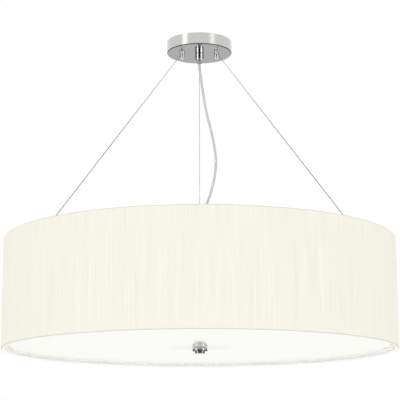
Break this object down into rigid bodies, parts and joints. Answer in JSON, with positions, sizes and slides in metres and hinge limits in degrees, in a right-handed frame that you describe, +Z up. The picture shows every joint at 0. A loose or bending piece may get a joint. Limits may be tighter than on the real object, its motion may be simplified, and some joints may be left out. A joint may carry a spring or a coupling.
{
  "type": "drum pendant light",
  "caption": "Large fabric drum pendant hung from a round ceiling canopy by steel wires, with a slack flex, inner lamps and an opal diffuser closed by a lobed finial.",
  "frame": {"origin": "middle of the ceiling bracket's top face, which lies against the ceiling", "axes": "+Z up into the ceiling along the light's own axis, +Y away from the viewer of the picture, +X to the viewer's right"},
  "size_m": [0.9, 0.9, 0.7426],
  "materials": {
    "polished_metal": "polished nickel plate",
    "zinc_steel": "bright zinc plate",
    "wire_steel": "fine stranded steel rope",
    "white_enamel": "satin white enamel",
    "terminal_brass": "plain brass",
    "shade_fabric": "ivory slub fabric with fine upright threads",
    "shade_liner": "stiff white laminate",
    "flex_sheath": "smooth white sheath",
    "white_plastic": "moulded white plastic",
    "opal_acrylic": "glossy opal sheet",
    "lamp_envelope": "opal lamp envelope"
  },
  "bodies": {
    "canopy": {"ceiling_bracket": "zinc_steel", "canopy_stud_left": "zinc_steel", "canopy_stud_right": "zinc_steel", "terminal_block": "white_plastic", "earth_screw": "terminal_brass", "line_core": "flex_sheath", "neutral_core": "flex_sheath", "earth_core": "flex_sheath", "ceiling_canopy": "polished_metal", "cap_nut_left": "polished_metal", "cap_nut_right": "polished_metal", "cord_grip_body": "polished_metal", "cord_grip_collet": "polished_metal", "cord_grip_locknut": "zinc_steel", "flex_cord": "flex_sheath", "wire_grip_1": "zinc_steel", "wire_grip_2": "zinc_steel", "wire_grip_3": "zinc_steel", "wire_grip_nut_1": "polished_metal", "wire_grip_nut_2": "polished_metal", "wire_grip_nut_3": "polished_metal", "suspension_wire_1": "wire_steel", "suspension_wire_2": "wire_steel", "suspension_wire_3": "wire_steel"},
    "release_1": {"wire_release_1": "polished_metal"},
    "release_2": {"wire_release_2": "polished_metal"},
    "release_3": {"wire_release_3": "polished_metal"},
    "shade": {"shade_fabric": "shade_fabric", "shade_liner": "shade_liner", "top_ring": "white_enamel", "bottom_ring": "white_enamel", "spider_arm_1": "white_enamel", "spider_arm_2": "white_enamel", "spider_arm_3": "white_enamel", "spider_hub": "white_enamel", "arm_screw_1": "zinc_steel", "arm_screw_2": "zinc_steel", "arm_screw_3": "zinc_steel", "wire_anchor_1": "zinc_steel", "wire_anchor_2": "zinc_steel", "wire_anchor_3": "zinc_steel", "wire_ball_1": "zinc_steel", "wire_ball_2": "zinc_steel", "wire_ball_3": "zinc_steel", "hub_cord_grip": "white_plastic", "stem_tube": "white_enamel", "stem_locknut": "zinc_steel", "wiring_box_lid": "white_enamel", "wiring_box": "white_enamel", "lampholder_1": "white_plastic", "lampholder_2": "white_plastic", "lampholder_3": "white_plastic", "lamp_1": "lamp_envelope", "lamp_2": "lamp_envelope", "lamp_3": "lamp_envelope", "diffuser_rod": "zinc_steel", "rod_locknut": "zinc_steel"},
    "diffuser": {"diffuser": "opal_acrylic"},
    "washer": {"finial_washer": "polished_metal"},
    "finial": {"finial_knob": "polished_metal"}
  },
  "joints": [
    {"name": "shade_height", "type": "slide", "parent": "canopy", "child": "shade", "axis": [0, 0, 1], "range_m": [0, 0.25], "deforming": ["suspension_wire_1", "suspension_wire_2", "suspension_wire_3", "flex_cord"]},
    {"name": "wire_release_press_1", "type": "slide", "parent": "canopy", "child": "release_1", "axis": [0, 0, 1], "range_m": [0, 0.0015], "stiffness_N_per_m": 800, "springref_m": -0.001},
    {"name": "wire_release_press_2", "type": "slide", "parent": "canopy", "child": "release_2", "axis": [0, 0, 1], "range_m": [0, 0.0015], "stiffness_N_per_m": 800, "springref_m": -0.001},
    {"name": "wire_release_press_3", "type": "slide", "parent": "canopy", "child": "release_3", "axis": [0, 0, 1], "range_m": [0, 0.0015], "stiffness_N_per_m": 800, "springref_m": -0.001},
    {"name": "diffuser_lift", "type": "slide", "parent": "shade", "child": "diffuser", "axis": [0, 0, 1], "range_m": [0, 0.06]},
    {"name": "finial_travel", "type": "slide", "parent": "shade", "child": "washer", "axis": [0, 0, -1], "range_m": [0, 0.008]},
    {"name": "finial_turn", "type": "hinge", "parent": "washer", "child": "finial", "pos_m": [0, 0, -0.735], "axis": [0, 0, -1], "range_deg": [0, 2880]}
  ],
  "couplings": [
    {"joint": "finial_travel", "follows": "finial_turn", "m_per_rad": 0.00015915}
  ]
}
